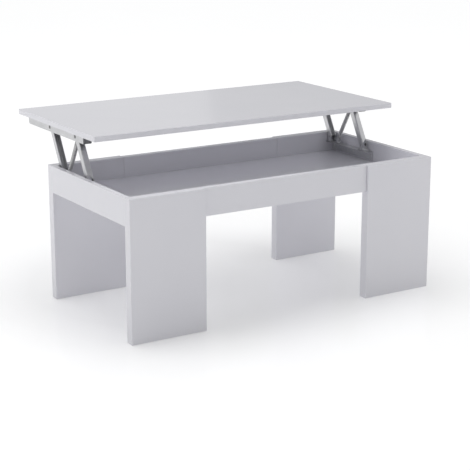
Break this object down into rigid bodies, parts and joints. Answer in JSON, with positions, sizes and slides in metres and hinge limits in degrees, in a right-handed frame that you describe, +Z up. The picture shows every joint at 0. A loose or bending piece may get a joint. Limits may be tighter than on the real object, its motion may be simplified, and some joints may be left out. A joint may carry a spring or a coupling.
{
  "type": "lift top coffee table",
  "caption": "Low rectangular table with wide panel legs and a storage tray; the top lifts and swings toward the back on parallel arm mechanisms at both ends.",
  "frame": {"origin": "centre of the base's footprint on the floor", "axes": "+X along the table's length, +Y toward the back, the way the raised top moves, +Z up"},
  "size_m": [1, 0.6945, 0.5311],
  "materials": {
    "white_board": "white gloss lacquer on board",
    "grey_steel": "silver grey powder coat",
    "zinc_steel": "zinc plated",
    "pivot_steel": "blackened steel",
    "dark_plastic": "moulded, dark grey",
    "spring_steel": "bright spring wire",
    "beech_dowel": "plain beech",
    "glide_plastic": "moulded, matt",
    "bumper_rubber": "soft clear"
  },
  "bodies": {
    "base": {"leg_front_left": "white_board", "leg_front_right": "white_board", "leg_rear_left": "white_board", "leg_rear_right": "white_board", "apron_front": "white_board", "apron_rear": "white_board", "end_apron_left": "white_board", "end_apron_right": "white_board", "tray_floor": "white_board", "tray_cams": "zinc_steel", "tray_cam_bolts": "zinc_steel", "apron_dowels": "beech_dowel", "end_dowels": "beech_dowel", "foot_glides": "glide_plastic", "bracket_screws": "zinc_steel", "bracket_left": "grey_steel", "clevis_front_left": "grey_steel", "clevis_rear_left": "grey_steel", "spring_post_left": "grey_steel", "raise_stop_left": "grey_steel", "spring_pin_left": "zinc_steel", "pivot_pin_rear_low_left": "pivot_steel", "pivot_rivets_front_low_left": "pivot_steel", "bracket_right": "grey_steel", "clevis_front_right": "grey_steel", "clevis_rear_right": "grey_steel", "spring_post_right": "grey_steel", "raise_stop_right": "grey_steel", "spring_pin_right": "zinc_steel", "pivot_pin_rear_low_right": "pivot_steel", "pivot_rivets_front_low_right": "pivot_steel"},
    "top": {"tabletop": "white_board", "rail_screws": "zinc_steel", "top_bumpers": "bumper_rubber", "rail_end_caps": "dark_plastic", "rail_left": "grey_steel", "pivot_rivets_rear_high_left": "pivot_steel", "pivot_pin_front_high_left": "pivot_steel", "pivot_spacers_left": "glide_plastic", "rail_right": "grey_steel", "pivot_rivets_rear_high_right": "pivot_steel", "pivot_pin_front_high_right": "pivot_steel", "pivot_spacers_right": "glide_plastic"},
    "arm_front_left": {"arm_front_left": "grey_steel"},
    "arm_rear_left": {"arm_rear_left": "grey_steel"},
    "spring_lower_left": {"spring_lower_left": "spring_steel"},
    "spring_upper_left": {"spring_upper_left": "spring_steel"},
    "arm_front_right": {"arm_front_right": "grey_steel"},
    "arm_rear_right": {"arm_rear_right": "grey_steel"},
    "spring_lower_right": {"spring_lower_right": "spring_steel"},
    "spring_upper_right": {"spring_upper_right": "spring_steel"}
  },
  "joints": [
    {"name": "lift", "type": "hinge", "parent": "base", "child": "arm_rear_left", "pos_m": [-0.4695, 0.2048, 0.3888], "axis": [1, 0, 0], "range_deg": [0, 119]},
    {"name": "front_arm_left", "type": "hinge", "parent": "base", "child": "arm_front_left", "pos_m": [-0.4695, 0.0388, 0.3888], "axis": [1, 0, 0], "range_deg": [0, 119]},
    {"name": "rear_arm_right", "type": "hinge", "parent": "base", "child": "arm_rear_right", "pos_m": [0.4695, 0.2048, 0.3888], "axis": [1, 0, 0], "range_deg": [0, 119]},
    {"name": "front_arm_right", "type": "hinge", "parent": "base", "child": "arm_front_right", "pos_m": [0.4695, 0.0388, 0.3888], "axis": [1, 0, 0], "range_deg": [0, 119]},
    {"name": "top_level", "type": "hinge", "parent": "arm_rear_left", "child": "top", "pos_m": [-0.4695, 0.26831, 0.50338], "axis": [1, 0, 0], "range_deg": [-119, 0]},
    {"name": "spring_low_left", "type": "hinge", "parent": "base", "child": "spring_lower_left", "pos_m": [-0.4695, 0.1698, 0.3888], "axis": [1, 0, 0], "range_deg": [0, 59.5]},
    {"name": "spring_high_left", "type": "hinge", "parent": "top", "child": "spring_upper_left", "pos_m": [-0.4695, 0.10231, 0.50338], "axis": [1, 0, 0], "range_deg": [0, 59.5]},
    {"name": "spring_low_right", "type": "hinge", "parent": "base", "child": "spring_lower_right", "pos_m": [0.4695, 0.1698, 0.3888], "axis": [1, 0, 0], "range_deg": [0, 59.5]},
    {"name": "spring_high_right", "type": "hinge", "parent": "top", "child": "spring_upper_right", "pos_m": [0.4695, 0.10231, 0.50338], "axis": [1, 0, 0], "range_deg": [0, 59.5]}
  ],
  "couplings": [
    {"joint": "front_arm_left", "follows": "lift", "ratio": 1},
    {"joint": "rear_arm_right", "follows": "lift", "ratio": 1},
    {"joint": "front_arm_right", "follows": "lift", "ratio": 1},
    {"joint": "top_level", "follows": "lift", "ratio": -1},
    {"joint": "spring_low_left", "follows": "lift", "ratio": 0.5},
    {"joint": "spring_high_left", "follows": "lift", "ratio": 0.5},
    {"joint": "spring_low_right", "follows": "lift", "ratio": 0.5},
    {"joint": "spring_high_right", "follows": "lift", "ratio": 0.5}
  ]
}
